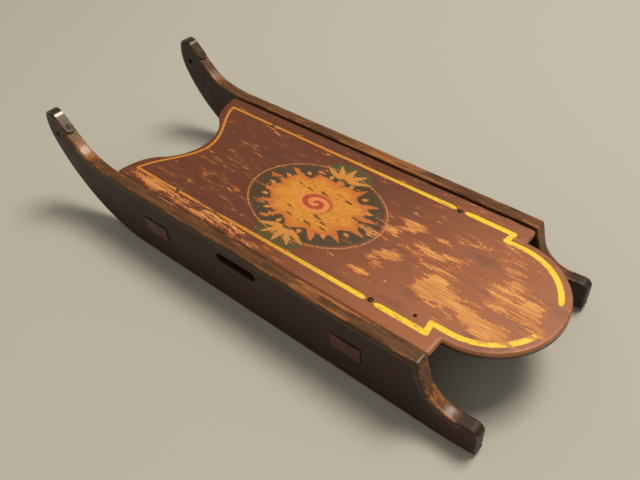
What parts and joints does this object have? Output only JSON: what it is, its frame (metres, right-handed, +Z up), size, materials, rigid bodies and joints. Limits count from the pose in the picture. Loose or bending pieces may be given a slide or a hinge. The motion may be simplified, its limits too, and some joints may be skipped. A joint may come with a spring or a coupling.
{
  "type": "child's wooden runner sled",
  "caption": "Low antique child's sled: painted board deck with scalloped bow and round tail between two upright runner boards with upswept, iron-shod horns.",
  "frame": {"origin": "on the ground, under the middle of the sled's overall box", "axes": "+X to the rider's left, +Y to the rear (the deck's round tail), +Z up; the horns point towards -Y"},
  "size_m": [0.3096, 0.829, 0.1858],
  "materials": {
    "deck_paint": "worn red-brown oil paint with yellow striping, satin",
    "runner_paint": "dark brown paint, rubbed through on the top edges",
    "crossbeam_wood": "thin red-brown paint over hardwood",
    "wedge_wood": "end grain, stained with the runner's paint",
    "shoe_iron": "dark wrought iron strap, rubbed bright at the tips and sole",
    "screw_iron": "dark iron, countersunk",
    "nail_iron": "dark forged iron, worn bright on the crown"
  },
  "bodies": {
    "root": {"deck_board": "deck_paint", "left_runner": "runner_paint", "right_runner": "runner_paint", "front_crossbeam": "crossbeam_wood", "rear_crossbeam": "crossbeam_wood", "left_runner_shoe": "shoe_iron", "right_runner_shoe": "shoe_iron", "left_tongue_screw": "screw_iron", "right_tongue_screw": "screw_iron", "left_sole_screws": "screw_iron", "right_sole_screws": "screw_iron", "front_deck_nails": "nail_iron", "rear_deck_nails": "nail_iron", "front_left_tenon_wedges": "wedge_wood", "front_right_tenon_wedges": "wedge_wood", "rear_left_tenon_wedges": "wedge_wood", "rear_right_tenon_wedges": "wedge_wood"}
  },
  "joints": []
}
